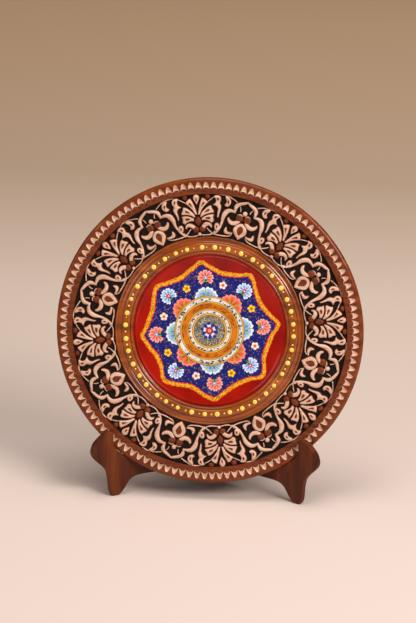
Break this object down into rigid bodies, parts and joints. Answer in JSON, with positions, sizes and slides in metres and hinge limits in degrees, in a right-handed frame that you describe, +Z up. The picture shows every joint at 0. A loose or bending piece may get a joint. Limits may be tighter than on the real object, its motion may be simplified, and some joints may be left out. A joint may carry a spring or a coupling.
{
  "type": "carved wooden display plate on a stand",
  "caption": "Round carved wooden display plate with a painted medallion, leaning on a stand of two half-lapped boards with hooks and a sloping back.",
  "frame": {"origin": "on the table, under the middle of the whole", "axes": "+Z up; the plate faces -Y and leans back towards +Y; +X is to the right of someone looking at its face"},
  "size_m": [0.3, 0.1202, 0.312],
  "materials": {
    "stained_walnut": "red-brown stained and waxed wood, satin",
    "black_stained_ground": "black-stained wood, stippled and matte",
    "pale_carved_wood": "bare pale wood, satin",
    "gold_relief_paint": "raised gold paint, satin",
    "red_lacquer": "wood under deep red gloss lacquer",
    "gold_band_paint": "gold and orange paint under gloss lacquer",
    "blue_paint": "ultramarine paint under gloss lacquer",
    "flower_paint": "coral, pale blue, yellow and white paint under gloss lacquer",
    "rosette_paint": "gold, white and orange paint under gloss lacquer",
    "speckled_paint": "grey and cream speckled paint under gloss lacquer",
    "dark_stand_wood": "dark brown stained wood, satin"
  },
  "bodies": {
    "right_board": {"right_board": "dark_stand_wood"},
    "left_board": {"left_board": "dark_stand_wood"},
    "plate": {"turned_plate": "stained_walnut", "border_ground": "black_stained_ground", "palmette_carvings": "pale_carved_wood", "lyre_carvings": "pale_carved_wood", "blossom_carvings": "pale_carved_wood", "scroll_carvings": "pale_carved_wood", "border_studs": "stained_walnut", "rim_leaves": "pale_carved_wood", "moulding_ring": "stained_walnut", "gold_dots": "gold_relief_paint", "medallion_dish": "red_lacquer", "star_outline": "gold_band_paint", "star_field": "blue_paint", "painted_flowers": "flower_paint", "rosette_rings": "rosette_paint", "rosette_centre": "speckled_paint"}
  },
  "joints": [
    {"name": "left_board_lift", "type": "slide", "parent": "right_board", "child": "left_board", "axis": [0, 0, 1], "range_m": [0, 0.07]},
    {"name": "plate_lift", "type": "slide", "parent": "left_board", "child": "plate", "axis": [0, 0, 1], "range_m": [0, 0.14]}
  ]
}
